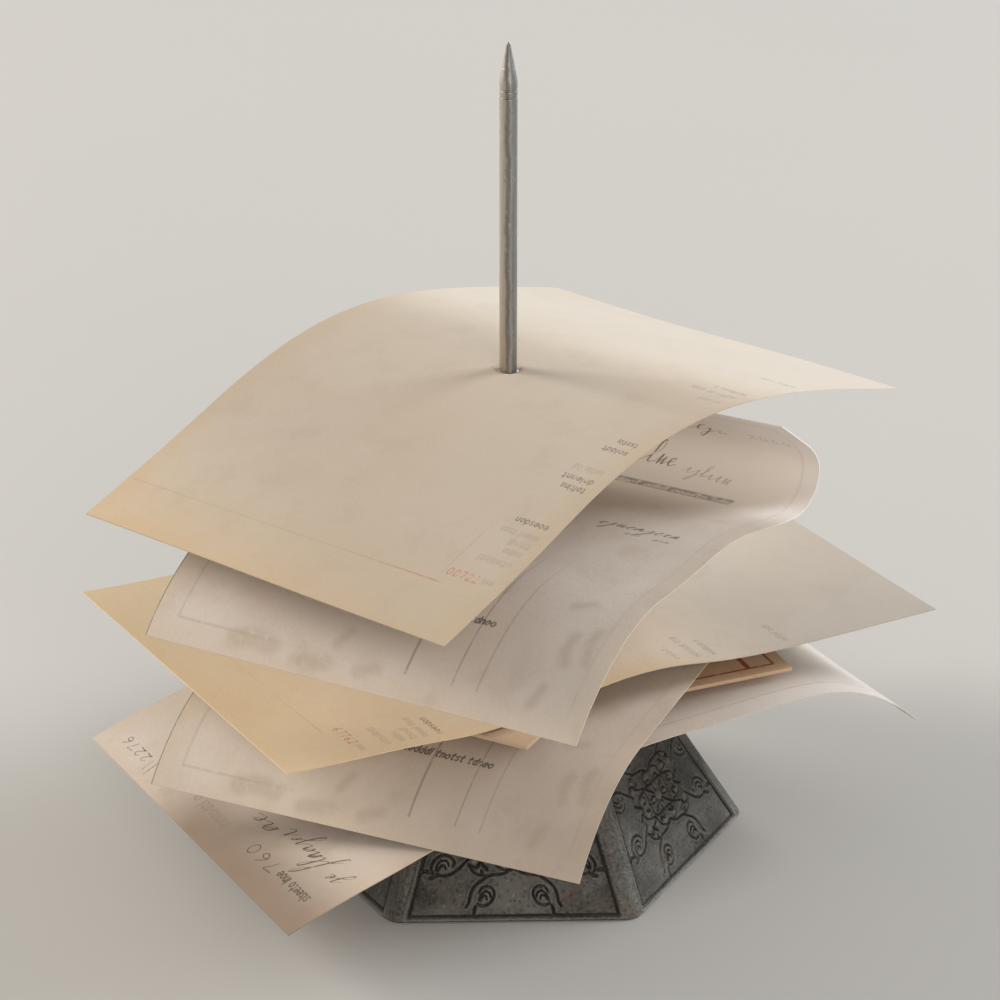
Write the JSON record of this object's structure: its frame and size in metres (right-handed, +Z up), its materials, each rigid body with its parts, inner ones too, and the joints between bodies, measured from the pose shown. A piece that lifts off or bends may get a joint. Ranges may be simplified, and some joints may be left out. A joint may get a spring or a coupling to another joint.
{
  "type": "bill spike",
  "caption": "Desk bill spike: a pointed steel rod on a hollow hexagonal iron casting with incised scrolls, holding pierced, curled bills and stiff cards that lift off over the point.",
  "frame": {"origin": "on the axis of the spike, at the foot of the casting, in the middle of the part's floor outline", "axes": "+Z up along the spike; the front face of the casting looks along -Y"},
  "size_m": [0.1623, 0.1668, 0.1555],
  "materials": {
    "iron": "aged, grey-green, dirt in the incised lines",
    "steel": "drawn rod, dull and scratched",
    "fixing_steel": "dull, darkened",
    "tan_paper": "aged tan writing paper",
    "pale_paper": "aged pale writing paper",
    "card_stock": "orange-tan pasteboard"
  },
  "bodies": {
    "stand": {"base_casting": "iron", "spike": "steel", "washer": "fixing_steel", "nut": "fixing_steel"},
    "bottom_bill": {"bottom_bill": "pale_paper"},
    "ruled_card": {"ruled_card": "card_stock"},
    "lower_statement": {"lower_statement": "pale_paper"},
    "plain_card": {"plain_card": "card_stock"},
    "middle_bill": {"middle_bill": "tan_paper"},
    "curled_statement": {"curled_statement": "pale_paper"},
    "top_bill": {"top_bill": "tan_paper"}
  },
  "joints": [
    {"name": "bottom_bill_lift", "type": "slide", "parent": "stand", "child": "bottom_bill", "axis": [0, 0, 1], "range_m": [0, 0.126]},
    {"name": "ruled_card_lift", "type": "slide", "parent": "bottom_bill", "child": "ruled_card", "axis": [0, 0, 1], "range_m": [0, 0.122]},
    {"name": "lower_statement_lift", "type": "slide", "parent": "ruled_card", "child": "lower_statement", "axis": [0, 0, 1], "range_m": [0, 0.118]},
    {"name": "plain_card_lift", "type": "slide", "parent": "lower_statement", "child": "plain_card", "axis": [0, 0, 1], "range_m": [0, 0.117]},
    {"name": "middle_bill_lift", "type": "slide", "parent": "plain_card", "child": "middle_bill", "axis": [0, 0, 1], "range_m": [0, 0.113]},
    {"name": "curled_statement_lift", "type": "slide", "parent": "middle_bill", "child": "curled_statement", "axis": [0, 0, 1], "range_m": [0, 0.086]},
    {"name": "top_bill_lift", "type": "slide", "parent": "curled_statement", "child": "top_bill", "axis": [0, 0, 1], "range_m": [0, 0.064]}
  ]
}
